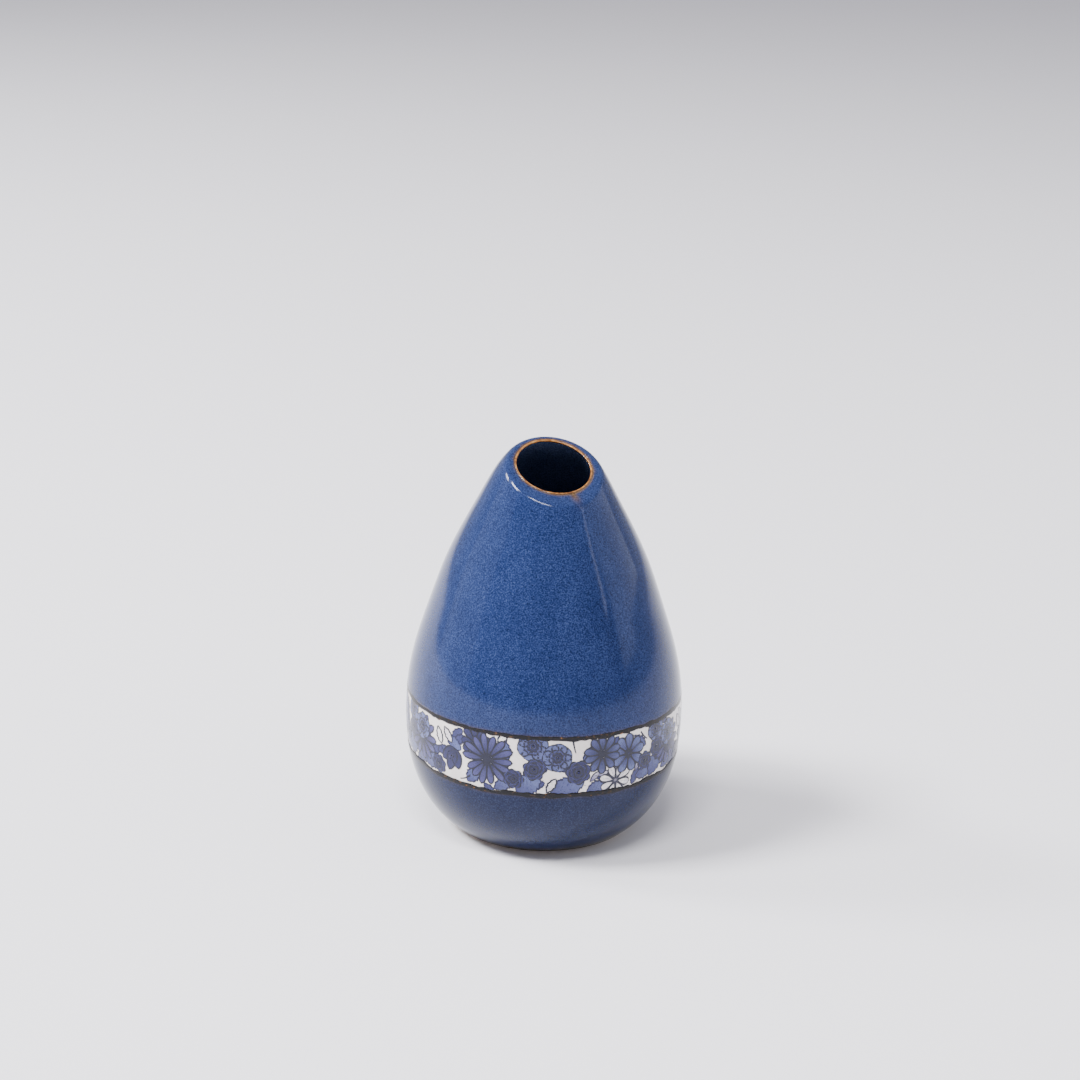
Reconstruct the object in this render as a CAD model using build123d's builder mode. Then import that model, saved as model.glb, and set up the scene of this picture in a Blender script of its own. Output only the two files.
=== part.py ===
"""Ceramic bud vase with a slanted mouth and a printed flower band, in millimetres.

The axis of the vase is Z and its foot stands on Z = 0. The mouth slopes down towards the front, -Y.
The fired clay is one piece. Each coat that is melted onto it is a thin solid of its own: the blue
glaze above and below the band, the white ground and the printed film of the band, the lining of
the chamber, and the brown lines where a glaze runs thin at an edge.
"""

import os
from math import cos, radians, sin

from build123d import *

os.makedirs("parts", exist_ok=True)

# The outside of the finished vase, glaze included.
LIP_HEIGHT = 104.1  # where the slanted mouth crosses the axis
LIP_TILT = 26.3  # degrees from level
LIP_LOW_AZIMUTH = -71.5  # degrees from +X to the low side: the front, and a little to the right
TIP_RISE = 5.9  # the turned form closes to TIP_RADIUS this far above LIP_HEIGHT
TIP_RADIUS = 4.1
BELLY_RADIUS = 38.0
BELLY_HEIGHT = 32.0
FOOT_RADIUS = 24.4

# Points that the outside runs through, as (share of the rise, share of the radius change, slope).
# The slope is the change of the second share for each unit of the first.
FOOT = (0.0, 0.0, 2.68)  # from the foot up to the belly
SHOULDER = [  # from the belly up to the tip
    (0.436, 0.2124, 0.764),
    (0.7436, 0.5245, 1.239),
    (1.0, 1.0, 4.22),
]
# How far the outside keeps straight on from each end of a span, as shares of the span.
FULLNESS = [(0.125, 0.648), (0.407, 0.346), (0.355, 0.482), (0.482, 0.401)]

# Walls and coats.
GLAZE = 0.5  # blue glaze on the outside
LINER = 0.4  # glaze in the chamber
CLAY_LIP_ROUND = 0.6  # outer edge of the clay lip; the glaze over it adds its own thickness
LIP_CLAY = 1.1  # clay wall at the mouth
BELLY_CLAY = 3.3  # clay wall from the belly down
FLOOR_TOP = 6.5  # height of the clay floor of the chamber
FLOOR_ROUND = 5.0  # radius between that floor and the wall

# The band: the white ground, the film printed with flowers, and the two lines that border it.
BAND_BOTTOM = 22.1
BAND_TOP = 39.3
BAND_TILT = 0.65  # degrees: the strip was laid on a little out of level, low at +X
BAND_LINE = 0.6  # height of each border line
PRINT_DEPTH = 0.05  # the printed face lies this far below the face of the blue glaze
PRINT_FILM = 0.15

# The lip line, where the blue glaze runs thin and brown over the inner edge of the lip.
LIP_LINE_WIDTH = 1.0
LIP_LINE_DEPTH = 1.2

# The bare foot ring under the glaze.
GLAZE_LINE = 1.3  # height where the glaze stops
FOOT_LINE = 0.5  # height of the brown line along that edge
FOOT_RING = 5.0  # width of the ring that the vase stands on
FOOT_ROUND = 0.5
RECESS_DEPTH = 2.2  # of the base inside the ring
RECESS_ROUND = 0.8


def outside():
    """The finished outside from the foot to the tip, as (point, direction), both in (radius, height)."""
    widening = BELLY_RADIUS - FOOT_RADIUS
    narrowing = BELLY_RADIUS - TIP_RADIUS
    rise = LIP_HEIGHT + TIP_RISE - BELLY_HEIGHT
    points = [
        (Vector(FOOT_RADIUS, 0), Vector(FOOT[2] * widening, BELLY_HEIGHT)),
        (Vector(BELLY_RADIUS, BELLY_HEIGHT), Vector(0, 1)),
    ]
    for up, across, slope in SHOULDER:
        point = Vector(BELLY_RADIUS - narrowing * across, BELLY_HEIGHT + rise * up)
        points.append((point, Vector(-slope * narrowing, rise)))
    return [(point, direction.normalized()) for point, direction in points]


def inside_of(depth, tip_depth):
    """The outside moved in, square to itself: by depth up to the belly, by tip_depth at the tip."""
    points = outside()
    rise = points[-1][0].Y - BELLY_HEIGHT
    moved = []
    for point, direction in points:
        share = max(0.0, (point.Y - BELLY_HEIGHT) / rise)
        inward = Vector(-direction.Y, direction.X)
        moved.append((point + inward * (depth + (tip_depth - depth) * share), direction))
    return moved


def turned(depth, tip_depth=None, floor=None, floor_round=0.0):
    """Solid of revolution that lies depth inside the finished outside, closed at its tip.

    It ends on the standing plane, or at floor, where it turns in with the radius floor_round.
    """
    points = inside_of(depth, depth if tip_depth is None else tip_depth)
    (start, slope), (tip, _) = points[0], points[-1]
    ground = start - slope * (start.Y / slope.Y)
    with BuildPart() as form:
        with BuildSketch(Plane.XZ):
            with BuildLine():
                for (p, along_p), (q, along_q), (low, high) in zip(points, points[1:], FULLNESS):
                    span = (q - p).length
                    Bezier(p, p + along_p * (low * span), q - along_q * (high * span), q)
                Polyline(tip, (0, tip.Y), (0, 0), ground)
                if depth:
                    Line(ground, start)
            make_face()
            if floor is not None:
                with Locations((0, floor)):
                    Rectangle(
                        2 * BELLY_RADIUS,
                        2 * LIP_HEIGHT,
                        align=(Align.MIN, Align.MIN),
                        mode=Mode.INTERSECT,
                    )
                fillet(vertices().group_by(Axis.Y)[0].sort_by(Axis.X)[-1], floor_round)
        revolve(axis=Axis.Z)
    return form.part


def lip_plane(depth):
    """The slanted plane of the lip, lowered by depth, square to itself."""
    lean, low_side = radians(LIP_TILT), radians(LIP_LOW_AZIMUTH)
    normal = (sin(lean) * cos(low_side), sin(lean) * sin(low_side), cos(lean))
    return Plane(origin=(0, 0, LIP_HEIGHT), z_dir=normal).offset(-depth)


def band_plane(height):
    """A nearly level plane across the band."""
    return Plane.XY.offset(height).rotated((0, BAND_TILT, 0))


def under_lip(form, depth, outer_round):
    """A turned form cut off at the slanted plane, with the rim of the cut rounded over."""
    with BuildPart() as cut:
        add(form)
        split(bisect_by=lip_plane(depth), keep=Keep.BOTTOM)
        top = cut.faces().filter_by(GeomType.PLANE).sort_by(Axis.Z)[-1]
        fillet(top.outer_wire().edges(), outer_round)
    return cut.part


def ring(outer, inner, low, high):
    """The form outer less the form inner, above the plane low and below the plane high."""
    with BuildPart() as strip:
        add(outer)
        if low:
            split(bisect_by=low, keep=Keep.TOP)
        if high:
            split(bisect_by=high, keep=Keep.BOTTOM)
        add(inner, mode=Mode.SUBTRACT)
    return strip.part


def write(piece, name):
    """Labels one sub-part and writes it as parts/NAME.step."""
    piece.label = name
    export_step(piece, f"parts/{name}.step")


# Turned forms, each named for the surface that bounds it.
belly_wall = GLAZE + BELLY_CLAY + LINER
lip_wall = GLAZE + LIP_CLAY + LINER
glaze_face = turned(0.0)
print_face = turned(PRINT_DEPTH)
ground_face = turned(PRINT_DEPTH + PRINT_FILM)
clay_face = turned(GLAZE)
line_edge = turned(belly_wall - LIP_LINE_WIDTH, lip_wall - LIP_LINE_WIDTH)
chamber_clay = turned(belly_wall - LINER, lip_wall - LINER, FLOOR_TOP, FLOOR_ROUND)
chamber_face = turned(belly_wall, lip_wall, FLOOR_TOP + LINER, FLOOR_ROUND - LINER)

# Levels that divide the coats: the glaze line at the foot, the edges of the band, and the lip.
glaze_end = Plane.XY.offset(GLAZE_LINE)
foot_line_top = Plane.XY.offset(GLAZE_LINE + FOOT_LINE)
band_low = band_plane(BAND_BOTTOM)
ground_low = band_plane(BAND_BOTTOM + BAND_LINE)
ground_high = band_plane(BAND_TOP - BAND_LINE)
band_high = band_plane(BAND_TOP)
lip_top = lip_plane(0)
lip_clay_top = lip_plane(GLAZE)
lip_line_end = lip_plane(LIP_LINE_DEPTH)

# The outer forms, cut off at the lip.
glazed = under_lip(glaze_face, 0, CLAY_LIP_ROUND + GLAZE)
clay = under_lip(clay_face, GLAZE, CLAY_LIP_ROUND)

# The fired clay body: shell, lip, floor, foot ring and recessed base.
with BuildPart() as clay_body:
    add(clay)
    add(chamber_clay, mode=Mode.SUBTRACT)
    standing = clay_body.edges().filter_by(GeomType.CIRCLE).sort_by(Axis.Z)[0]
    recess_radius = standing.radius - FOOT_RING
    fillet(standing, FOOT_ROUND)
    with BuildSketch(Plane.XZ):
        with BuildLine():
            side = Polyline(
                (0, 0),
                (recess_radius + FOOT_ROUND, 0),
                (recess_radius, FOOT_ROUND),
                (recess_radius, RECESS_DEPTH - RECESS_ROUND),
            )
            middle = (recess_radius - RECESS_ROUND, RECESS_DEPTH - RECESS_ROUND)
            corner = CenterArc(middle, RECESS_ROUND, 0, 90)
            Polyline(corner @ 1, (0, RECESS_DEPTH), (0, 0))
        make_face()
    revolve(axis=Axis.Z, mode=Mode.SUBTRACT)

# The brown line: over the inner edge of the lip, and down into the chamber.
line_cap = ring(line_edge, chamber_face, lip_clay_top, lip_top)
line_skin = ring(chamber_clay, chamber_face, lip_line_end, lip_clay_top)

with BuildPart() as lip_line:
    add(line_cap)
    add(line_skin)

# The blue glaze above the band, which turns over the lip as far as the brown line.
with BuildPart() as line_room:
    add(line_edge)
    split(bisect_by=lip_clay_top, keep=Keep.TOP)

with BuildPart() as below_band:
    with Locations(band_high.location):
        Cylinder(2 * BELLY_RADIUS, LIP_HEIGHT, align=(Align.CENTER, Align.CENTER, Align.MAX))

with BuildPart() as shoulder_glaze:
    add(glazed)
    add(below_band.part, mode=Mode.SUBTRACT)
    add(clay, mode=Mode.SUBTRACT)
    add(line_room.part, mode=Mode.SUBTRACT)

write(clay_body.part, "clay_body")
write(shoulder_glaze.part, "shoulder_glaze")
write(lip_line.part, "lip_line")
write(ring(chamber_clay, chamber_face, None, lip_line_end), "liner_glaze")
write(ring(glaze_face, clay_face, foot_line_top, band_low), "heel_glaze")
write(ring(glaze_face, clay_face, glaze_end, foot_line_top), "foot_line")
write(ring(glaze_face, clay_face, band_low, ground_low), "lower_band_line")
write(ring(glaze_face, clay_face, ground_high, band_high), "upper_band_line")
write(ring(ground_face, clay_face, ground_low, ground_high), "band_ground")
write(ring(print_face, ground_face, ground_low, ground_high), "flower_transfer")
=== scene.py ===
import math
import random
from bisect import bisect_left
from functools import lru_cache

import bmesh
import bpy
from mathutils import Matrix, Vector, noise


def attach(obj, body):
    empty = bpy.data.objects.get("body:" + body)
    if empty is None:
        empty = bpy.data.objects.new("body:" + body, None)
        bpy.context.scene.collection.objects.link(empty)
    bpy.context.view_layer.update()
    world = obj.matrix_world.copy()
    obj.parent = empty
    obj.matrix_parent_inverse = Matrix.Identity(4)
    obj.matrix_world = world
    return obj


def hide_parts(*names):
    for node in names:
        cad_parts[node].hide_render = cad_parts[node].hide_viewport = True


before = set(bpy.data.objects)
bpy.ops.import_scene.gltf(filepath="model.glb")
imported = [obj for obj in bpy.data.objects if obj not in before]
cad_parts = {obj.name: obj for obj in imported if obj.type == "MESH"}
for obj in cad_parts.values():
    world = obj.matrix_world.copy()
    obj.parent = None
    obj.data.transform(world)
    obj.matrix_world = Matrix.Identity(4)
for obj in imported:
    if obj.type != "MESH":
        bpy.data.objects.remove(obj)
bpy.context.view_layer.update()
bpy.ops.object.select_all(action="DESELECT")

# ---------------------------------------------------------------------------------------------
# The clay body. One thrown and fired stoneware shell with its foot ring and recessed base.
# It is bare only under the foot line: a matt buff clay with fine iron specks.

MM = 0.001


def new_material(name):
    """A node material with a Principled shader: the material, its nodes, its links and the shader."""
    material = bpy.data.materials.new(name)
    material.use_nodes = True
    nodes, links = material.node_tree.nodes, material.node_tree.links
    shader = next(n for n in nodes if n.type == "BSDF_PRINCIPLED")
    return material, nodes, links, shader


def speckle(nodes, links, size, detail=3.0, stretch=(1.0, 1.0, 1.0), rough=0.55):
    """A noise on the piece's own Object coordinates whose grains are about size metres wide."""
    place = nodes.new("ShaderNodeTexCoord")
    turn = nodes.new("ShaderNodeMapping")
    turn.inputs["Scale"].default_value = stretch
    grain = nodes.new("ShaderNodeTexNoise")
    grain.inputs["Scale"].default_value = 1.0 / size
    grain.inputs["Detail"].default_value = detail
    grain.inputs["Roughness"].default_value = rough
    links.new(place.outputs["Object"], turn.inputs["Vector"])
    links.new(turn.outputs["Vector"], grain.inputs["Vector"])
    return grain


def ramp(nodes, links, source, stops):
    """A colour ramp over source. Stops are (position, (r, g, b))."""
    band = nodes.new("ShaderNodeValToRGB")
    points = band.color_ramp.elements
    while len(points) < len(stops):
        points.new(0.5)
    for point, (position, colour) in zip(points, stops):
        point.position = position
        point.color = (*colour, 1.0)
    links.new(source, band.inputs["Fac"])
    return band


def blend(nodes, links, first, second, share, kind="MIX"):
    """A colour mix of two sockets. Share is a number or a socket."""
    mix = nodes.new("ShaderNodeMix")
    mix.data_type = "RGBA"
    mix.blend_type = kind
    links.new(first, mix.inputs["A"])
    links.new(second, mix.inputs["B"])
    if isinstance(share, float):
        mix.inputs["Factor"].default_value = share
    else:
        links.new(share, mix.inputs["Factor"])
    return mix.outputs["Result"]


def relief(nodes, links, shader, source, height, strength=1.0):
    """Bump from a noise, height metres deep."""
    bump = nodes.new("ShaderNodeBump")
    bump.inputs["Distance"].default_value = height
    bump.inputs["Strength"].default_value = strength
    links.new(source, bump.inputs["Height"])
    links.new(bump.outputs["Normal"], shader.inputs["Normal"])


stoneware, nodes, links, shader = new_material("bare buff stoneware")
grog = speckle(nodes, links, 0.5 * MM, 4.0)
iron = speckle(nodes, links, 1.1 * MM, 2.0)
buff = [(0.3, (0.33, 0.26, 0.19)), (0.7, (0.52, 0.44, 0.35))]
specks = [(0.27, (0.12, 0.07, 0.04)), (0.33, (1.0, 1.0, 1.0))]
clay_colour = ramp(nodes, links, grog.outputs["Fac"], buff).outputs["Color"]
iron_specks = ramp(nodes, links, iron.outputs["Fac"], specks).outputs["Color"]
links.new(
    blend(nodes, links, clay_colour, iron_specks, 1.0, "MULTIPLY"),
    shader.inputs["Base Color"],
)
shader.inputs["Roughness"].default_value = 0.82
relief(nodes, links, shader, grog.outputs["Fac"], 0.06 * MM, 0.6)

clay_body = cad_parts["clay_body"]
clay_body.data.materials.clear()
clay_body.data.materials.append(stoneware)

# ---------------------------------------------------------------------------------------------
# The blue glaze of the shoulder. Melted on in one coat from the band up and over the slanted lip,
# where it rounds the outer edge and stops at the amber line. Glossy, finely mottled, runs a little.

# The slanted plane of the lip: its height on the axis, its lean, and the azimuth of its low side.
LIP_HEIGHT, LIP_TILT, LIP_LOW = 104.1, math.radians(26.3), math.radians(-71.5)
FOOT_R, BELLY_R, BELLY_Z, TIP_R, TIP_Z = 24.4, 38.0, 32.0, 4.1, 110.0
FOOT_SLOPE = 2.68  # how fast the outline leaves the foot, as the slopes below
# Knots of the wall's outline: (share of the rise, share of the radius change, slope).
SHOULDER = [(0.436, 0.2124, 0.764), (0.7436, 0.5245, 1.239), (1.0, 1.0, 4.22)]
# How far the outline keeps straight on from each end of a span, as shares of the span.
FULLNESS = [(0.125, 0.648), (0.407, 0.346), (0.355, 0.482), (0.482, 0.401)]
SPAN_POINTS = 80
BELLY_WALL, LIP_WALL = 4.2, 2.0
# The middles of the lines that border the band, and how much the band falls towards +X.
BAND_LOW, BAND_HIGH, BAND_SLOPE = 22.4, 39.0, -0.0113
AROUND = 384  # columns of points around the axis


def outline(depth, tip_depth=None):
    """Radius and height of the wall's outline, depth inside the finished outside, from foot to tip."""
    tip_depth = depth if tip_depth is None else tip_depth
    knots = [(Vector((FOOT_R, 0)), Vector((FOOT_SLOPE * (BELLY_R - FOOT_R), BELLY_Z)))]
    knots.append((Vector((BELLY_R, BELLY_Z)), Vector((0, 1))))
    for up, across, slope in SHOULDER:
        spot = Vector((BELLY_R - (BELLY_R - TIP_R) * across, BELLY_Z + (TIP_Z - BELLY_Z) * up))
        knots.append((spot, Vector((-slope * (BELLY_R - TIP_R), TIP_Z - BELLY_Z))))
    moved = []
    for spot, way in knots:
        way = way.normalized()
        share = max(0.0, (spot.y - BELLY_Z) / (TIP_Z - BELLY_Z))
        moved.append((spot + Vector((-way.y, way.x)) * (depth + (tip_depth - depth) * share), way))
    points = []
    for (p, dp), (q, dq), (low, high) in zip(moved, moved[1:], FULLNESS):
        span = (q - p).length
        a, b = p + dp * low * span, q - dq * high * span
        for i in range(SPAN_POINTS):
            t = i / SPAN_POINTS
            s = 1 - t
            points.append(p * s**3 + a * 3 * s * s * t + b * 3 * s * t * t + q * t**3)
    return points + [moved[-1][0]]


def height_at(points, z):
    """Radius of an outline at height z."""
    k = min(max(bisect_left(points, z, key=lambda p: p.y), 1), len(points) - 1)
    p, q = points[k - 1], points[k]
    share = min(1.0, max(0.0, (z - p.y) / (q.y - p.y)))
    return p.x + (q.x - p.x) * share


def lip_z(radius, azimuth):
    """Height of the slanted lip plane at a point."""
    return LIP_HEIGHT - math.tan(LIP_TILT) * radius * math.cos(azimuth - LIP_LOW)


def meets_lip(points, azimuth, drop=0.0):
    """Where an outline passes through the lip plane, or drop below it, at an azimuth."""
    upper = points[2 * SPAN_POINTS:]
    for p, q in zip(upper, upper[1:]):
        a, b = p.y - lip_z(p.x, azimuth) + drop, q.y - lip_z(q.x, azimuth) + drop
        if a <= 0 < b:
            return p + (q - p) * (a / (a - b))
    return points[-1]


def wavy(azimuth, seed, rate):
    """A smooth value, mostly between -1 and 1, that closes on itself around the vase."""
    place = Vector((math.cos(azimuth) * rate, math.sin(azimuth) * rate, seed))
    return noise.noise(place) * 1.6


def loft(name, column, across, around=AROUND):
    """A strip of across + 1 points per column, carried once around the axis and closed on itself.

    column(azimuth) gives the points as (radius, height) in millimetres, in order.
    """
    bpy.ops.object.select_all(action="DESELECT")
    bpy.ops.mesh.primitive_grid_add(x_subdivisions=around, y_subdivisions=across, size=1)
    piece = bpy.context.object
    piece.name = piece.data.name = name
    for j in range(around + 1):
        azimuth = 2 * math.pi * j / around
        for i, (r, z) in enumerate(column(azimuth)):
            spot = piece.data.vertices[i * (around + 1) + j]
            spot.co = (r * math.cos(azimuth) * MM, r * math.sin(azimuth) * MM, z * MM)
    bpy.ops.object.mode_set(mode="EDIT")
    bpy.ops.mesh.select_all(action="SELECT")
    bpy.ops.mesh.remove_doubles(threshold=0.000001)
    bpy.ops.object.mode_set(mode="OBJECT")
    return piece


def give_wall(piece, thickness):
    """Gives a strip a wall behind its outer face, as a smooth closed shell."""
    bpy.context.view_layer.objects.active = piece
    wall = piece.modifiers.new("wall", "SOLIDIFY")
    wall.thickness = thickness * MM
    wall.offset = -1.0
    bpy.ops.object.modifier_apply(modifier=wall.name)
    for face in piece.data.polygons:
        face.use_smooth = True


def mark(piece, name, value):
    """Stores value(x, y, z), in millimetres, as a point attribute."""
    layer = piece.data.attributes.new(name, "FLOAT", "POINT")
    for spot, item in zip(piece.data.vertices, layer.data):
        x, y, z = spot.co / MM
        item.value = value(x, y, z)


LINE_WIDTH, FRONT_WIDER = 0.85, 0.8  # the amber line, and how much wider the lip is at its low side
WIDER_DEPTH = 6.0  # how far below the lip the wall is back to its usual thickness
finish = outline(0.0)
chamber = outline(BELLY_WALL, LIP_WALL)
wide_chamber = outline(BELLY_WALL, LIP_WALL + FRONT_WIDER)


def rounded(start, corner, end, steps):
    """Points of a soft turn from start to end around a corner."""
    turn = []
    for i in range(steps + 1):
        t = i / steps
        turn.append(start * (1 - t) ** 2 + corner * 2 * t * (1 - t) + end * t * t)
    return turn


def toward(a, b, distance):
    """The point distance from a on the way to b."""
    return a + (b - a).normalized() * distance


def along_outline(points, low, high, steps):
    """Points of an outline from height low to height high, evenly spaced in height."""
    spots = []
    for i in range(steps + 1):
        z = low + (high - low) * i / steps
        spots.append(Vector((height_at(points, z), z)))
    return spots


def inner_wall(azimuth, drop):
    """Where the chamber's wall passes drop below the lip plane."""
    low_side = max(0.0, math.cos(azimuth - LIP_LOW)) ** 2
    wider = low_side * max(0.0, 1 - drop / WIDER_DEPTH)
    return meets_lip(chamber, azimuth, drop).lerp(meets_lip(wide_chamber, azimuth, drop), wider)


@lru_cache(maxsize=None)
def lip_corners(azimuth):
    """The wall's outer corner, the amber line's outer edge and the inner corner on the lip plane."""
    outer, inner = meets_lip(finish, azimuth), inner_wall(azimuth, 0.0)
    return outer, toward(inner, outer, LINE_WIDTH + 0.1 * wavy(azimuth, 9.4, 3.0)), inner


def upper_edge(azimuth):
    """Height of the glaze's edge above the band."""
    x = BELLY_R * math.cos(azimuth)
    return BAND_HIGH + BAND_SLOPE * x + 0.22 * wavy(azimuth, 3.1, 3.0) + 0.1 * wavy(azimuth, 8.7, 12.0)


EDGE_GAP = 0.1  # the coat stops this far short of the middle of the line at its edge
LIP_DROP, LIP_REACH = 1.1, 1.0  # the rounding of the lip's outer edge, down the wall and across the lip
WALL_ROWS, TURN_ROWS, LIP_ROWS = 90, 9, 4
COAT_WALL = 0.45


def shoulder_column(azimuth):
    """Up the wall from the band, round the outer edge of the lip and in to the amber line."""
    outer, line, _ = lip_corners(azimuth)
    bottom = upper_edge(azimuth) + EDGE_GAP
    corner = Vector((height_at(finish, outer.y), outer.y))
    low = Vector((height_at(finish, outer.y - LIP_DROP), outer.y - LIP_DROP))
    flat = toward(outer, line, LIP_REACH)
    wall = along_outline(finish, bottom, low.y, WALL_ROWS)[:-1]
    turn = rounded(low, corner, flat, TURN_ROWS)[:-1]
    return wall + turn + [flat.lerp(line, i / LIP_ROWS) for i in range(LIP_ROWS + 1)]


shoulder_coat = loft("shoulder-glaze-coat", shoulder_column, WALL_ROWS + TURN_ROWS + LIP_ROWS)
give_wall(shoulder_coat, COAT_WALL)
RUN_AT, RUN_WIDTH, RUN_LENGTH = math.radians(-62), 0.07, 3.0  # a short thin run below the amber line


def thin_at(x, y, z):
    """How thin the blue glaze is: 1 on the edges where iron shows through, 0 where it lies thick."""
    azimuth = round(math.atan2(y, x), 3)
    radius = math.hypot(x, y)
    _, line, _ = lip_corners(azimuth)
    by_line = (Vector((radius, z)) - line).length
    wander = 0.25 + 0.18 * wavy(azimuth, 5.5, 9.0)
    by_band = max(0.0, z - upper_edge(azimuth))
    run = math.exp(-(((azimuth - RUN_AT) / RUN_WIDTH) ** 2)) * math.exp(-((by_line / RUN_LENGTH) ** 2))
    return min(1.0, max(math.exp(-by_line / wander), 0.8 * math.exp(-by_band / 0.35), 0.95 * run))


mark(shoulder_coat, "thin", thin_at)


def blue_glaze(name, deep, royal, pale, edge):
    """A glossy blue stoneware glaze, mottled in grains of a third of a millimetre and softly streaked.

    It breaks to the colour edge where the attribute thin says that it runs thin.
    """
    glaze, nodes, links, shader = new_material(name)
    grains = speckle(nodes, links, 0.36 * MM, 2.0, rough=0.6)
    clouds = speckle(nodes, links, 7.0 * MM, 3.0, (1.0, 1.0, 0.45))
    flecks = speckle(nodes, links, 0.8 * MM, 2.0, rough=0.7)
    body = ramp(nodes, links, grains.outputs["Fac"], [(0.3, deep), (0.5, royal), (0.72, pale)])
    cloudy = [(0.3, (0.72, 0.76, 0.82)), (0.7, (1.12, 1.08, 1.05))]
    flecked = [(0.28, (0.45, 0.5, 0.6)), (0.36, (1.0, 1.0, 1.0))]
    shade = ramp(nodes, links, clouds.outputs["Fac"], cloudy)
    dots = ramp(nodes, links, flecks.outputs["Fac"], flecked)
    colour = blend(nodes, links, body.outputs["Color"], shade.outputs["Color"], 1.0, "MULTIPLY")
    colour = blend(nodes, links, colour, dots.outputs["Color"], 0.7, "MULTIPLY")
    thin = nodes.new("ShaderNodeAttribute")
    thin.attribute_name = "thin"
    bright_edge = tuple(c * 2.2 for c in edge)
    broken = ramp(nodes, links, grains.outputs["Fac"], [(0.35, edge), (0.7, bright_edge)])
    colour = blend(nodes, links, colour, broken.outputs["Color"], thin.outputs["Fac"])
    links.new(colour, shader.inputs["Base Color"])
    shader.inputs["Roughness"].default_value = 0.11
    shader.inputs["IOR"].default_value = 1.5
    shader.inputs["Specular IOR Level"].default_value = 0.23
    shader.inputs["Specular Tint"].default_value = (0.78, 0.8, 1.0, 1.0)
    skin = speckle(nodes, links, 2.2 * MM, 2.0)
    relief(nodes, links, shader, skin.outputs["Fac"], 0.03 * MM, 0.5)
    return glaze


shoulder_blue = blue_glaze(
    "mottled royal blue glaze",
    deep=(0.004, 0.009, 0.036),
    royal=(0.015, 0.029, 0.1),
    pale=(0.042, 0.066, 0.175),
    edge=(0.06, 0.034, 0.012),
)
shoulder_coat.data.materials.append(shoulder_blue)
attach(shoulder_coat, "root")
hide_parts("shoulder_glaze")

# ---------------------------------------------------------------------------------------------
# The blue glaze of the heel. The same glaze below the band, coloured darker and greyer as painted
# shade under the belly. It stops in a wavy brown edge a little above the foot.

GLAZE_END = 1.35  # height of the middle of the foot line


def lower_edge(azimuth):
    """Height of the glaze's edge below the band."""
    x = BELLY_R * math.cos(azimuth)
    return BAND_LOW + BAND_SLOPE * x + 0.25 * wavy(azimuth, 1.7, 3.2) + 0.12 * wavy(azimuth, 6.2, 13.0)


def foot_edge(azimuth):
    """Height of the glaze's lower edge above the foot."""
    return GLAZE_END + 0.22 * wavy(azimuth, 2.2, 4.0)


FOOT_GAP = 0.3  # the coat stops this far above the middle of the foot line
HEEL_ROWS = 40


def heel_column(azimuth):
    """Up the wall from the foot line to the band."""
    low, high = foot_edge(azimuth) + FOOT_GAP, lower_edge(azimuth) - EDGE_GAP
    return along_outline(finish, low, high, HEEL_ROWS)


heel_coat = loft("heel-glaze-coat", heel_column, HEEL_ROWS)
give_wall(heel_coat, COAT_WALL)


def heel_thin(x, y, z):
    """How thin the heel's glaze is: it thins out at the band and at the foot."""
    azimuth = math.atan2(y, x)
    by_band = max(0.0, lower_edge(azimuth) - z)
    by_foot = max(0.0, z - foot_edge(azimuth))
    return min(1.0, max(0.8 * math.exp(-by_band / 0.35), 0.9 * math.exp(-by_foot / 0.5)))


mark(heel_coat, "thin", heel_thin)
# Darker, greyer colours than the shoulder's: painted shade on the heel, which faces the floor.
heel_blue_painted_shade = blue_glaze(
    "mottled blue glaze darkened as painted shade",
    deep=(0.003, 0.006, 0.02),
    royal=(0.008, 0.013, 0.043),
    pale=(0.026, 0.038, 0.09),
    edge=(0.05, 0.03, 0.012),
)
heel_coat.data.materials.append(heel_blue_painted_shade)
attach(heel_coat, "root")
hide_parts("heel_glaze")

# ---------------------------------------------------------------------------------------------
# The brown lines. Where a glaze ends it runs thin and breaks to olive brown, in a low bead that
# wanders: above and below the band, and along the foot.

BEAD_WALL, BEAD_TUCK = 0.3, 0.1  # a bead's own wall, and how far its edges dip below the glaze
BEAD_ROWS, BEAD_AROUND = 8, 720


def bead_column(edge, width, rise, seed):
    """Columns of a low bead centred on edge(azimuth), width wide and rise high."""

    def column(azimuth):
        middle = edge(azimuth)
        half = width * (0.5 + 0.2 * wavy(azimuth, seed, 7.0) + 0.12 * wavy(azimuth, seed + 4, 25.0))
        spots = []
        for i in range(BEAD_ROWS + 1):
            t = 2 * i / BEAD_ROWS - 1
            z = middle + t * half
            lift = rise * (1 - t * t) - BEAD_TUCK * t**6
            spots.append(Vector((height_at(finish, z) + lift, z)))
        return spots

    return column


def break_material(name, dark, warm, bright):
    """A glossy brown break, spotted with amber where the glaze is thinnest."""
    breaking, nodes, links, shader = new_material(name)
    spots = speckle(nodes, links, 1.4 * MM, 4.0, (1.0, 1.0, 2.0))
    colour = ramp(nodes, links, spots.outputs["Fac"], [(0.54, dark), (0.66, warm), (0.78, bright)])
    links.new(colour.outputs["Color"], shader.inputs["Base Color"])
    shader.inputs["Roughness"].default_value = 0.22
    shader.inputs["Specular IOR Level"].default_value = 0.2
    relief(nodes, links, shader, spots.outputs["Fac"], 0.03 * MM, 0.5)
    return breaking


olive_break = break_material(
    "olive brown break of the glaze", (0.005, 0.005, 0.007), (0.03, 0.018, 0.01), (0.34, 0.13, 0.035)
)
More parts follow.
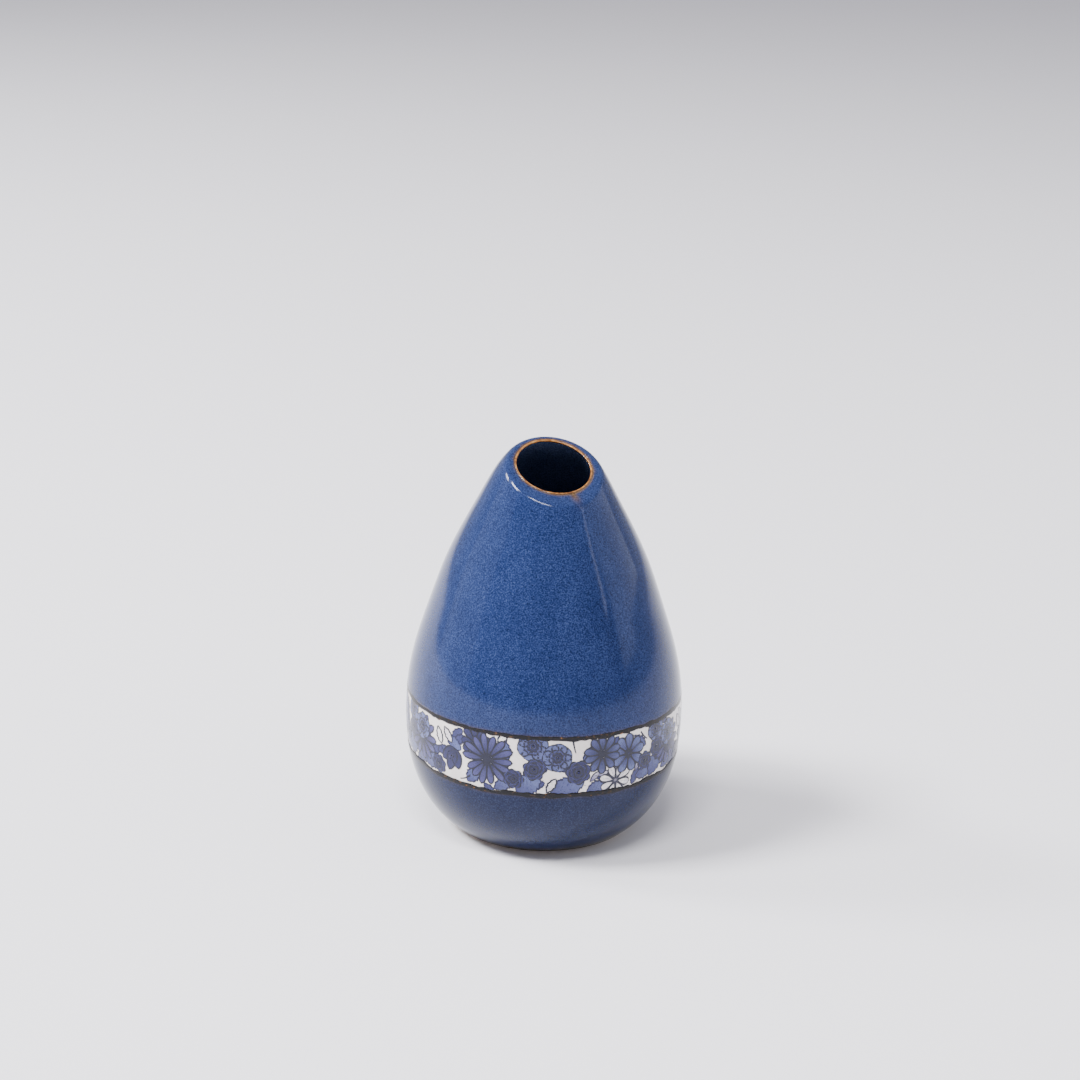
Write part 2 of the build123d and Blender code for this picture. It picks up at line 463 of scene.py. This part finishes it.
# Each line: its name, edge, width, rise, seed, CAD node and slot.
beads = [
    ("upper-band-line", upper_edge, 1.45, 0.02, 1.0, "upper_band_line", "dark_break_high"),
    ("lower-band-line", lower_edge, 1.6, 0.02, 2.0, "lower_band_line", "dark_break_low"),
    ("foot-line", foot_edge, 0.7, 0.0, 3.0, "foot_line", "foot_break"),
]
for name, edge, width, rise, seed, node, slot in beads:
    bead = loft(name, bead_column(edge, width, rise, seed), BEAD_ROWS, BEAD_AROUND)
    give_wall(bead, BEAD_WALL)
    bead.data.materials.append(olive_break)
    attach(bead, "root")
    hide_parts(node)

# ---------------------------------------------------------------------------------------------
# The amber line. On the inner edge of the lip the glaze is thin over iron-rich clay and fires
# amber, with a darker rim on both sides. It rolls over the edge into the mouth.

AMBER_REACH, AMBER_TURN = 1.0, 10  # how far it goes down into the mouth, and the steps of its roll


def amber_column(azimuth):
    """Across the lip from the blue glaze, over the inner edge and down into the mouth."""
    _, line, inner = lip_corners(azimuth)
    under = inner_wall(azimuth, AMBER_REACH)
    width = 0.6 + 0.08 * wavy(azimuth, 4.4, 6.0)
    spots = [line.lerp(inner, 0.02)]
    turn = rounded(toward(inner, line, width), inner, toward(inner, under, 0.45), AMBER_TURN)
    normal = Vector((math.sin(LIP_TILT) * math.cos(azimuth - LIP_LOW), math.cos(LIP_TILT)))
    lift = 0.05 + 0.02 * wavy(azimuth, 7.7, 10.0)
    for i, spot in enumerate(turn):
        spots.append(spot + normal * lift * math.sin(math.pi * min(1.0, (i + 1) / 8)))
    return spots + [under]


lip_bead = loft("amber-lip-line", amber_column, AMBER_TURN + 2)
give_wall(lip_bead, BEAD_WALL)


def rim_share(x, y, z):
    """0 on the crest of the amber line, 1 on its dark sides."""
    azimuth = round(math.atan2(y, x), 3)
    _, line, inner = lip_corners(azimuth)
    crest = inner.lerp(line, 0.36)
    far = (Vector((math.hypot(x, y), z)) - crest).length
    return min(1.0, max(0.0, (far - 0.2) / 0.3))


mark(lip_bead, "rim", rim_share)
amber, nodes, links, shader = new_material("amber break over the lip")
spots = speckle(nodes, links, 1.6 * MM, 4.0)
ambers = [(0.36, (0.14, 0.045, 0.008)), (0.5, (0.3, 0.12, 0.025)), (0.68, (0.46, 0.22, 0.06))]
browns = [(0.4, (0.02, 0.012, 0.012)), (0.7, (0.08, 0.03, 0.01))]
crest = ramp(nodes, links, spots.outputs["Fac"], ambers)
sides = ramp(nodes, links, spots.outputs["Fac"], browns)
rim = nodes.new("ShaderNodeAttribute")
rim.attribute_name = "rim"
links.new(
    blend(nodes, links, crest.outputs["Color"], sides.outputs["Color"], rim.outputs["Fac"]),
    shader.inputs["Base Color"],
)
shader.inputs["Roughness"].default_value = 0.2
shader.inputs["Coat Weight"].default_value = 0.4
shader.inputs["Coat Roughness"].default_value = 0.05
relief(nodes, links, shader, spots.outputs["Fac"], 0.03 * MM, 0.4)
lip_bead.data.materials.append(amber)
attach(lip_bead, "root")
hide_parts("lip_line")

# ---------------------------------------------------------------------------------------------
# The lining. Blue glaze poured into the chamber and drained: down from the amber line, round the
# corner of the floor and closed over it.

FLOOR_Z, FLOOR_TURN = 6.9, 4.6  # the height of the glazed floor, and the radius of its corner
LINING_TOP = 0.9  # how far below the lip it starts, behind the amber line
NECK_ROWS, CHAMBER_ROWS, CORNER_ROWS, FLOOR_ROWS = 10, 50, 10, 8
LINING_AROUND = 192


def lining_column(azimuth):
    """Down the neck and the chamber's wall, round the corner of the floor and in to the axis."""
    wall_end = FLOOR_Z + FLOOR_TURN
    neck = [inner_wall(azimuth, LINING_TOP + 0.5 * i) for i in range(NECK_ROWS + 1)]
    wall = neck + along_outline(chamber, neck[-1].y, wall_end, CHAMBER_ROWS)[1:]
    foot = Vector((height_at(chamber, FLOOR_Z + 1.5) - 0.5, FLOOR_Z))
    turn = rounded(wall[-1], foot, foot - Vector((FLOOR_TURN, 0)), CORNER_ROWS)[1:]
    floor = [Vector((turn[-1].x * (1 - i / FLOOR_ROWS), FLOOR_Z)) for i in range(1, FLOOR_ROWS + 1)]
    return wall + turn + floor


lining_rows = NECK_ROWS + CHAMBER_ROWS + CORNER_ROWS + FLOOR_ROWS
lining = loft("chamber-lining", lining_column, lining_rows, LINING_AROUND)
bpy.ops.object.mode_set(mode="EDIT")
bpy.ops.mesh.select_all(action="SELECT")
bpy.ops.mesh.remove_doubles(threshold=0.00001)
bpy.ops.object.mode_set(mode="OBJECT")
give_wall(lining, 0.35)
mark(lining, "thin", lambda x, y, z: 0.0)
# Paler colours than the outer blue: painted light inside the mouth, which the lamps barely reach.
lining_blue_painted_light = blue_glaze(
    "lining glaze paled with painted light",
    deep=(0.03, 0.045, 0.1),
    royal=(0.07, 0.1, 0.2),
    pale=(0.12, 0.16, 0.3),
    edge=(0.06, 0.035, 0.015),
)
lining.data.materials.append(lining_blue_painted_light)
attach(lining, "root")
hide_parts("liner_glaze")

# ---------------------------------------------------------------------------------------------
# The white ground of the band. A glossy warm white glaze, laid on before the print. It lies a touch
# lower than the blue, and its edges run in under the brown lines.

GROUND_DEPTH, GROUND_WALL = 0.17, 0.3
GROUND_TUCK = 0.3  # how far it runs past the middles of the lines
GROUND_ROWS = 24


def ground_column(azimuth):
    """Up the wall under the print, from line to line."""
    low, high = lower_edge(azimuth) - GROUND_TUCK, upper_edge(azimuth) + GROUND_TUCK
    return [spot - Vector((GROUND_DEPTH, 0)) for spot in along_outline(finish, low, high, GROUND_ROWS)]


ground = loft("white-band-ground", ground_column, GROUND_ROWS)
give_wall(ground, GROUND_WALL)
white, nodes, links, shader = new_material("warm white band glaze")
milk = speckle(nodes, links, 3.0 * MM, 3.0)
tint = ramp(nodes, links, milk.outputs["Fac"], [(0.3, (0.72, 0.66, 0.63)), (0.7, (0.83, 0.79, 0.77))])
links.new(tint.outputs["Color"], shader.inputs["Base Color"])
shader.inputs["Roughness"].default_value = 0.2
shader.inputs["Coat Weight"].default_value = 0.3
shader.inputs["Coat Roughness"].default_value = 0.05
relief(nodes, links, shader, milk.outputs["Fac"], 0.02 * MM, 0.4)
ground.data.materials.append(white)
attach(ground, "root")
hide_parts("band_ground")

# ---------------------------------------------------------------------------------------------
# The printed flowers. A ceramic transfer under clear glaze: dark outlines filled with blues and
# violets that fade towards the tips. Each motif is a thin film, and later ones lie over earlier.

BAND_R = 37.9  # the radius that lengths along the band are measured on
PRINT_DEPTH = 0.155  # of the lowest print, below the face of the blue glaze
SHEET, COAT = 0.0017, 0.0002  # the step up from one motif to the next, and from coat to coat within one
NAVY, DARK, VIOLET = (0.003, 0.004, 0.019), (0.006, 0.007, 0.036), (0.014, 0.015, 0.08)
PERI, SKY, LILAC = (0.032, 0.036, 0.14), (0.085, 0.105, 0.26), (0.12, 0.1, 0.29)
PAPER = (0.76, 0.72, 0.71)
LINE = 0.3  # drives the width of the printed outlines, which lie inside a shape's edge
rng = random.Random(7)


class Print:
    """The film of one kind of motif, drawn flat, as (along the band, up, lift), in millimetres."""

    def __init__(self, name):
        self.name = name
        self.film = bmesh.new()
        self.ink = self.film.loops.layers.float_color.new("ink")

    def quad(self, corners, colours):
        """One face of the film, with an ink colour for each corner."""
        face = self.film.faces.new([self.film.verts.new(c) for c in corners])
        for loop, colour in zip(face.loops, colours):
            loop[self.ink] = (*colour, 1.0)


layer = {"sheet": 0, "coat": 0}


def next_motif():
    """Starts a motif that lies over the ones before it."""
    layer["sheet"] += 1
    layer["coat"] = 0


def next_coat():
    """Lays what is drawn next over what the same motif has so far, and returns its height."""
    layer["coat"] += 1
    return height_now()


def height_now():
    """How far what is drawn next lies above the lowest print."""
    return layer["sheet"] * SHEET + layer["coat"] * COAT


def mixed(a, b, share):
    """The colour that is share of the way from a to b."""
    return tuple(x + (y - x) * share for x, y in zip(a, b))


def blade(print_, root, angle, length, half, base, tip, point=0.6, teeth=0, bow=0.0, ink=NAVY, vein=True):
    """A petal or leaf from its root: half is its half width, and point is where it is widest.

    Teeth cut its edge, bow bends it sideways, and base and tip are the colours it fades between.
    """
    lift = height_now()
    rows = 12 if not teeth else 6 * teeth
    cos, sin = math.cos(angle), math.sin(angle)
    line = min(LINE * 1.7, half * 0.38)

    def spot(t, across):
        x = t * length
        y = across + bow * length * t * t
        return (root[0] + x * cos - y * sin, root[1] + x * sin + y * cos, lift)

    def width(t):
        if t < point:
            w = math.sin(t / point * math.pi / 2) ** 0.75
        else:
            w = math.cos((t - point) / (1 - point) * math.pi / 2) ** 0.55
        if teeth:
            w *= 1 - 0.22 * ((t * teeth) % 1.0)
        return max(w * half, 0.04)

    grid = []
    for i in range(rows + 1):
        t = i / rows
        w = width(t)
        inner = max(w - line, 0.0)
        across = (-w, -inner, -0.45 * inner, 0.0, 0.45 * inner, inner, w)
        grid.append([(spot(t, a), t) for a in across])
    for i in range(rows):
        for k in range(6):
            edge = k in (0, 5) or i == rows - 1 or (i == 0 and not teeth)
            corners = [grid[i][k], grid[i + 1][k], grid[i + 1][k + 1], grid[i][k + 1]]
            fade = 1.15 + (0.16 if k in (2, 3) else 0.0)
            colours = [ink if edge else mixed(base, tip, min(1.0, c[1] * fade)) for c in corners]
            print_.quad([c[0] for c in corners][::-1], colours[::-1])
    if vein:
        reach = 0.7 if not teeth else 0.9
        stroke(print_, [spot(0.02 + reach * i / 6, 0) for i in range(7)], 0.09, mixed(ink, base, 0.25))
    return spot


def stroke(print_, points, half, ink=NAVY):
    """A fine printed line through points, thinning towards its end."""
    lift = height_now() + COAT
    for i, (p, q) in enumerate(zip(points, points[1:])):
        a, b = Vector(p[:2]), Vector(q[:2])
        side = Vector((a.y - b.y, b.x - a.x)).normalized() if (b - a).length else Vector((0, 1))
        wide = half * (1 - 0.6 * i / len(points))
        thin = half * (1 - 0.6 * (i + 1) / len(points))
        corners = [a + side * wide, a - side * wide, b - side * thin, b + side * thin]
        print_.quad([(c.x, c.y, lift) for c in corners], [ink] * 4)


def disc(print_, middle, radius, inner, outer, lobes=0, depth=0.12, turn=0.0):
    """A round or scalloped patch with a dark outline, from the colour inner to the colour outer."""
    lift = next_coat()
    around = 40 if lobes else 20
    rings = [0.0, 0.5, max(0.0, 1 - LINE * 1.5 / radius), 1.0]

    def spot(share, k):
        a = turn + 2 * math.pi * k / around
        notch = depth * (1 - abs(math.sin(lobes * (a - turn) / 2))) if lobes else 0.0
        r = radius * share * (1 - notch)
        return (middle[0] + r * math.cos(a), middle[1] + r * math.sin(a), lift)

    for low, high in zip(rings, rings[1:]):
        for k in range(around):
            corners = [spot(low, k), spot(high, k), spot(high, k + 1), spot(low, k + 1)]
            if low == 0.0:
                corners = corners[:3]
            edge = high == 1.0
            shares = [low, high, high, low][: len(corners)]
            print_.quad(corners, [NAVY if edge else mixed(inner, outer, share) for share in shares])


def daisy(print_, s, h, radius, petals, base, tip, eye=NAVY, slim=1.0):
    """A daisy: overlapping round-tipped petals with a dark, fuzzy eye."""
    turn = rng.uniform(0, 1)
    half = slim * math.pi * radius / petals * 0.72
    next_motif()
    for k in list(range(0, petals, 2)) + list(range(1, petals, 2)):
        if k == 1:
            next_coat()
        angle = turn + 2 * math.pi * k / petals + rng.uniform(-0.05, 0.05)
        reach = radius * rng.uniform(0.9, 1.04)
        root = (s + 0.12 * radius * math.cos(angle), h + 0.12 * radius * math.sin(angle))
        blade(print_, root, angle, reach * 0.88, half, base, tip, 0.7, bow=rng.uniform(-0.05, 0.05))
    disc(print_, (s, h), radius * 0.2, mixed(eye, base, 0.3), eye, 9, 0.2)
    for k in range(12):
        a = 2 * math.pi * k / 12 + rng.uniform(-0.1, 0.1)
        ends = (radius * 0.15, radius * rng.uniform(0.26, 0.36))
        stroke(print_, [(s + q * math.cos(a), h + q * math.sin(a)) for q in ends], 0.1, eye)


def rose(print_, s, h, radius):
    """A small dark rose: round lobes outside, and curled petals in lighter arcs around a tight bud."""
    turn = rng.uniform(0, 3)
    next_motif()
    disc(print_, (s, h), radius, mixed(DARK, VIOLET, 0.3), VIOLET, 7, 0.2, turn)
    for share, lobes in ((0.72, 5), (0.46, 4)):
        turn += 0.5
        disc(print_, (s, h), radius * share, DARK, mixed(DARK, VIOLET, share), lobes, 0.2, turn)
        for k in range(lobes):
            a = turn + 2 * math.pi * (k + 0.5) / lobes
            arc = [a + (q - 2) * 0.9 / lobes for q in range(5)]
            far = radius * (share + 0.12)
            stroke(print_, [(s + far * math.cos(q), h + far * math.sin(q)) for q in arc], 0.12, PERI)
    disc(print_, (s, h), radius * 0.18, VIOLET, DARK)


def anemone(print_, s, h, radius, petals):
    """An open round flower: broad pale petals and a big dark heart."""
    turn = rng.uniform(0, 1)
    next_motif()
    for k in list(range(0, petals, 2)) + list(range(1, petals, 2)):
        if k == 1:
            next_coat()
        angle = turn + 2 * math.pi * k / petals
        blade(print_, (s, h), angle, radius, radius * 0.56, PERI, SKY, 0.62, vein=False)
    disc(print_, (s, h), radius * 0.62, mixed(PERI, SKY, 0.3), PERI, 8, 0.14)
    disc(print_, (s, h), radius * 0.42, DARK, DARK, 9, 0.2)
    disc(print_, (s, h), radius * 0.14, VIOLET, VIOLET)


def leaf(print_, s, h, angle, length, half, base=PERI, tip=SKY, teeth=5):
    """A broad toothed leaf with a midrib and side veins."""
    next_motif()
    edge = mixed(NAVY, VIOLET, 0.4)
    spot = blade(print_, (s, h), angle, length, half, base, tip, 0.45, teeth=teeth, ink=edge)
    for k in range(1, 5):
        t = 0.15 + 0.16 * k
        for side in (-1, 1):
            ends = [spot(t + 0.09 * q, side * half * 0.28 * q) for q in range(3)]
            stroke(print_, ends, 0.07, mixed(NAVY, VIOLET, 0.6))


def bud(print_, s, h, angle, length):
    """A pointed, three-lobed bud."""
    next_motif()
    for swing, share in ((0.5, 0.82), (-0.5, 0.82), (0.0, 1.0)):
        next_coat()
        blade(print_, (s, h), angle + swing, length * share, length * 0.26, DARK, VIOLET, 0.4)


def laid_on_band(print_):
    """Wraps a drawn print round the band, a little under the blue glaze's face, as one piece.

    What reaches past the band's edges is pulled back to them, under the brown lines.
    """
    sheet = bpy.data.meshes.new(print_.name)
    bmesh.ops.remove_doubles(print_.film, verts=print_.film.verts, dist=0.00001)
    low, high = 0.35, BAND_HIGH - BAND_LOW - 0.3
    for vert in print_.film.verts:
        vert.co.y = min(max(vert.co.y, low), high)
    bmesh.ops.dissolve_degenerate(print_.film, edges=print_.film.edges, dist=0.0001)
    for vert in print_.film.verts:
        s, h, lift = vert.co
        azimuth = -math.pi / 2 + s / BAND_R
        z = BAND_LOW + h + BAND_SLOPE * BELLY_R * math.cos(azimuth)
        r = height_at(finish, z) - PRINT_DEPTH + lift
        vert.co = (r * math.cos(azimuth) * MM, r * math.sin(azimuth) * MM, z * MM)
    print_.film.normal_update()
    print_.film.to_mesh(sheet)
    print_.film.free()
    piece = bpy.data.objects.new(print_.name, sheet)
    bpy.context.collection.objects.link(piece)
    for face in sheet.polygons:
        face.use_smooth = True
    piece.data.materials.append(printed_ink)
    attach(piece, "root")
    return piece


printed_ink, nodes, links, shader = new_material("blue and violet ceramic ink")
ink = nodes.new("ShaderNodeAttribute")
ink.attribute_name = "ink"
wash = speckle(nodes, links, 0.45 * MM, 4.0)
drift = speckle(nodes, links, 2.4 * MM, 3.0)
washed = [(0.3, (0.74, 0.76, 0.84)), (0.7, (1.16, 1.14, 1.08))]
drifted = [(0.3, (0.82, 0.8, 0.9)), (0.7, (1.1, 1.12, 1.06))]
wash_tint = ramp(nodes, links, wash.outputs["Fac"], washed)
drift_tint = ramp(nodes, links, drift.outputs["Fac"], drifted)
tinted = blend(nodes, links, ink.outputs["Color"], wash_tint.outputs["Color"], 1.0, "MULTIPLY")
links.new(
    blend(nodes, links, tinted, drift_tint.outputs["Color"], 1.0, "MULTIPLY"), shader.inputs["Base Color"]
)
shader.inputs["Roughness"].default_value = 0.22
shader.inputs["Specular IOR Level"].default_value = 0.35
shader.inputs["Coat Weight"].default_value = 0.1
shader.inputs["Coat Roughness"].default_value = 0.05

leaves, daisies, roses = Print("printed-leaves"), Print("printed-daisies"), Print("printed-roses")
anemones, stems = Print("printed-anemones"), Print("printed-stems")


def bouquet(at):
    """One length of the design, 79 mm along the band, which the transfer repeats three times.

    Places are (along the band from at, up from its lower line), in millimetres.
    """
    # Small leaves that fill the ground, then larger ones, then the broad ones along the bottom.
    for k in range(18):
        layer["sheet"] = k % 3
        x, h = -39 + 4.4 * k + rng.uniform(-1.2, 1.2), rng.uniform(1.5, 14.5)
        angle = rng.uniform(0, 2 * math.pi)
        leaf(leaves, at + x, h, angle, rng.uniform(4.5, 6.0), 1.6, mixed(PERI, VIOLET, 0.5), PERI, 4)
    for x, h, angle, length, half in (
        (-34, 8, 2.4, 7.5, 2.1), (38, 2.0, 0.4, 8, 2.4), (-28, 12.6, -0.5, 6, 2.0),
        (-37, 1.6, 0.5, 8, 2.6), (-21, 1.2, 0.9, 6.5, 2.2), (-9.0, 9.6, 1.9, 6.4, 1.9),
        (11.0, 9.0, 1.0, 6.5, 2.0), (27.0, 2.6, 0.2, 7.0, 2.3), (30.5, 11.0, 2.6, 6.5, 2.0),
        (-13, 0.8, 0.6, 6.5, 2.1), (18.0, 6.5, -0.9, 6.0, 1.9), (41, 5.5, 1.2, 7.0, 2.2),
    ):
        leaf(leaves, at + x, h, angle, length, half)
    for x, h, angle, length, half in (
        (-6.8, 0.5, 0.75, 8.4, 3.5), (2.2, 0.6, 0.42, 10.0, 3.5),
        (32.5, 1.2, 1.0, 9.0, 3.3), (12.0, 0.8, 0.35, 6.4, 2.4),
    ):
        leaf(leaves, at + x, h, angle, length, half, PERI, SKY, 6)
    # White leaves, short stems and pale lilac sprigs.
    next_motif()
    for x, h, angle in (
        (1.2, 1.0, 1.05), (21.5, 13.4, 0.2), (-31.5, 14.2, -1.2), (-29.0, 14.8, -0.9), (-12, 13.6, 1.0),
    ):
        blade(leaves, (at + x, h), angle, 5.0, 1.4, PAPER, PAPER, 0.5, teeth=4)
    for x, h, angle in (
        (8.0, 15.6, -1.4), (-20, 3.2, -2.4), (28.5, 15.2, -1.0), (14, 4.0, -0.2), (-26.5, 4.6, 2.4),
    ):
        across, up = 0.9 * math.cos(angle), 0.9 * math.sin(angle)
        stroke(stems, [(at + x + across * q, h + up * q + 0.05 * q * q) for q in range(6)], 0.26)
    next_motif()
    for x, h, angle in ((12.8, 3.8, 0.8), (14.4, 5.4, 0.2), (26.6, 4.2, 1.1), (-28.0, 6.4, 0.3)):
        blade(leaves, (at + x, h), angle, 3.8, 0.9, LILAC, mixed(LILAC, PAPER, 0.5), 0.6)
    # Buds and flowers, each over the ones before it.
    bud(roses, at - 24.8, 9.8, -1.9, 7.4)
    bud(roses, at + 36.5, 9.5, -1.4, 5.6)
    daisy(daisies, at - 38.5, 8.8, 6.9, 12, DARK, mixed(PERI, LILAC, 0.3), slim=0.9)
    daisy(daisies, at - 18.4, 13.0, 4.8, 9, DARK, VIOLET)
    daisy(daisies, at + 20.4, 3.2, 5.0, 8, PAPER, PAPER, VIOLET, 0.95)
    daisy(daisies, at + 24.2, 10.2, 5.8, 9, VIOLET, SKY, NAVY, 1.05)
    daisy(daisies, at + 16.2, 11.4, 5.8, 10, DARK, mixed(PERI, SKY, 0.35))
    daisy(daisies, at - 14.8, 9.0, 7.6, 14, DARK, mixed(PERI, LILAC, 0.2), slim=0.95)
    for x, h, radius, petals in (
        (-2.6, 14.2, 4.3, 6), (34.6, 14.4, 3.5, 6), (40.8, 11.6, 3.8, 6), (3.9, 11.2, 4.1, 7),
    ):
        anemone(anemones, at + x, h, radius, petals)
    for x, h, radius in (
        (-2.2, 7.6, 3.2), (-7.6, 4.6, 3.0), (9.6, 6.8, 3.7),
        (35.0, 9.2, 3.0), (30.2, 6.6, 2.8), (-31, 3.4, 2.9),
    ):
        rose(roses, at + x, h, radius)


ROUND = 2 * math.pi * BAND_R
for third in range(3):
    bouquet(ROUND / 3 * third)

prints = [laid_on_band(p) for p in (leaves, stems, daisies, roses, anemones)]
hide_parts("flower_transfer")

# ---------------------------------------------------------------------------------------------
# The studio. A pale paper floor runs on far behind the vase. Two soft boxes high at the left cast
# the shadow, a strip above the front lights the lip, a narrow one draws the right edge, and faint
# panels stand at both sides.

bpy.ops.object.select_all(action="DESELECT")
bpy.ops.mesh.primitive_plane_add(size=16.0, location=(0, 0, 0))
floor = bpy.context.object
floor.name = "floor"
sweep, nodes, links, shader = new_material("pale paper sweep")
shader.inputs["Base Color"].default_value = (0.89, 0.88, 0.93, 1.0)
shader.inputs["Roughness"].default_value = 0.9
shader.inputs["Specular IOR Level"].default_value = 0.2
floor.data.materials.append(sweep)

world = bpy.data.worlds.new("studio")
bpy.context.scene.world = world
world.use_nodes = True
nodes, links = world.node_tree.nodes, world.node_tree.links
around_us = nodes.new("ShaderNodeTexCoord")
split = nodes.new("ShaderNodeSeparateXYZ")
links.new(around_us.outputs["Generated"], split.inputs["Vector"])
depth = nodes.new("ShaderNodeMapRange")
depth.inputs["From Min"].default_value = -1.0
links.new(split.outputs["Y"], depth.inputs["Value"])
# The room is dim on the camera's side, and pale behind the vase.
room_colours = [
    (0.0, (0.36, 0.35, 0.38)),
    (0.35, (0.42, 0.41, 0.45)),
    (0.65, (0.75, 0.74, 0.8)),
    (1.0, (0.95, 0.94, 1.0)),
]
room = ramp(nodes, links, depth.outputs["Result"], room_colours)
links.new(room.outputs["Color"], nodes["Background"].inputs["Color"])
nodes["Background"].inputs["Strength"].default_value = 0.82

VASE_MIDDLE = Vector((0.0, 0.0, 0.06))


def soft_box(name, way, distance, width, height, radiance):
    """A rectangular light that faces the vase from the direction way, at distance, in metres."""
    light = bpy.data.lights.new(name, "AREA")
    light.shape = "RECTANGLE"
    light.size, light.size_y = width, height
    light.energy = radiance * math.pi * width * height
    lamp = bpy.data.objects.new(name, light)
    bpy.context.collection.objects.link(lamp)
    back = Vector(way).normalized()
    lamp.location = VASE_MIDDLE + back * distance
    lamp.rotation_euler = back.to_track_quat("Z", "Y").to_matrix().to_euler()


soft_box("key", (-0.62, -0.14, 0.74), 2.4, 0.6, 0.6, 88.0)
soft_box("side key", (-0.76, 0.2, 0.56), 2.4, 0.5, 0.5, 50.0)
soft_box("front lip light", (-0.08, -0.42, 0.9), 1.2, 0.5, 0.15, 50.0)
soft_box("right edge", (0.8, -0.4, 0.46), 1.2, 0.045, 0.62, 6.0)
soft_box("right panel", (0.95, 0.1, 0.42), 1.2, 1.1, 0.8, 1.3)
soft_box("left panel", (-0.97, -0.05, 0.3), 1.2, 0.9, 0.8, 0.8)

# The camera stands in front and a little above, looking down at the vase.
lens = bpy.data.cameras.new("camera")
lens.lens = 73.33
lens.sensor_width = 36.0
camera = bpy.data.objects.new("camera", lens)
bpy.context.collection.objects.link(camera)
down, yaw, roll = math.radians(18.081), math.radians(-0.21), math.radians(1.279)
ahead = Vector((math.sin(yaw) * math.cos(down), math.cos(yaw) * math.cos(down), -math.sin(down)))
camera.location = (0.0, -0.5627, 0.2644)
facing = ahead.to_track_quat("-Z", "Y").to_matrix() @ Matrix.Rotation(roll, 3, "Z")
camera.rotation_euler = facing.to_euler()
bpy.context.scene.camera = camera

bpy.context.view_layer.update()
